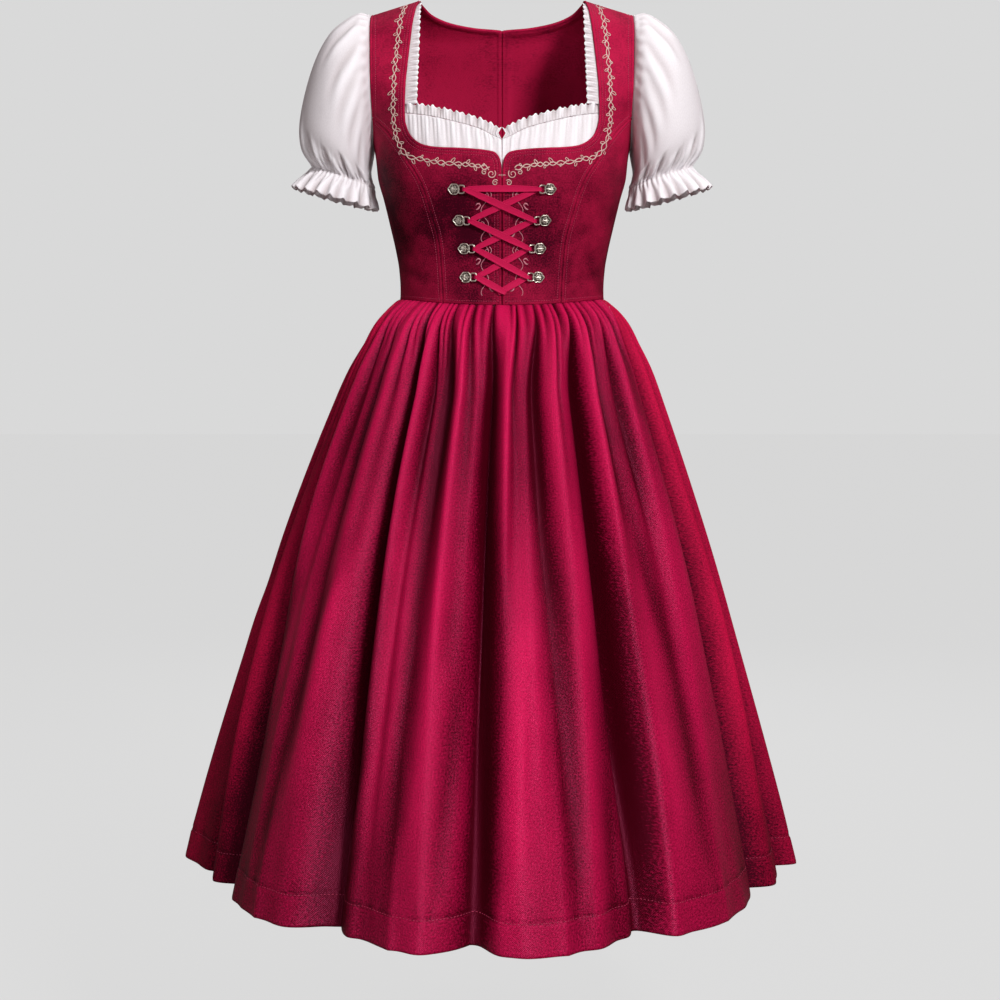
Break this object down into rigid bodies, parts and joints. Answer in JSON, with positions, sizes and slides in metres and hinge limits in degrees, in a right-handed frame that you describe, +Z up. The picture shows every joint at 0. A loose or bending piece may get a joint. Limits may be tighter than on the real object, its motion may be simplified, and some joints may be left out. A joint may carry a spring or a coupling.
{
  "type": "dirndl dress with blouse",
  "caption": "Folk dress with a laced, panelled bodice, a gathered midi skirt and a puff-sleeved blouse, hollow as if worn.",
  "frame": {"origin": "midway between the two shoulder seams, at the height of their inner ends, where the shoulders carry the dress", "axes": "+Z up, -Y towards the front of the dress, +X towards the wearer's left"},
  "size_m": [0.7706, 0.7951, 1.0911],
  "materials": {
    "bodice_cloth": "matte, densely woven burgundy cloth",
    "skirt_satin": "soft satin sheen with a fine grain, burgundy",
    "blouse_cotton": "matte white cotton",
    "hook_metal": "darkened old silver",
    "lace_ribbon": "flat woven ribbon with a slight sheen"
  },
  "bodies": {
    "root": {"skirt_front": "skirt_satin", "skirt_back_left": "skirt_satin", "skirt_back_right": "skirt_satin", "bodice_front_left": "bodice_cloth", "bodice_side_front_left": "bodice_cloth", "bodice_side_back_left": "bodice_cloth", "bodice_back_left": "bodice_cloth", "bodice_front_right": "bodice_cloth", "bodice_side_front_right": "bodice_cloth", "bodice_side_back_right": "bodice_cloth", "bodice_back_right": "bodice_cloth", "blouse_sleeve_left": "blouse_cotton", "blouse_front_left": "blouse_cotton", "blouse_ruffle_left": "blouse_cotton", "strap_frill_left": "blouse_cotton", "blouse_sleeve_right": "blouse_cotton", "blouse_front_right": "blouse_cotton", "blouse_ruffle_right": "blouse_cotton", "strap_frill_right": "blouse_cotton", "hook_left_1": "hook_metal", "hook_left_2": "hook_metal", "hook_left_3": "hook_metal", "hook_left_4": "hook_metal", "hook_right_1": "hook_metal", "hook_right_2": "hook_metal", "hook_right_3": "hook_metal", "hook_right_4": "hook_metal", "lace": "lace_ribbon"}
  },
  "joints": []
}
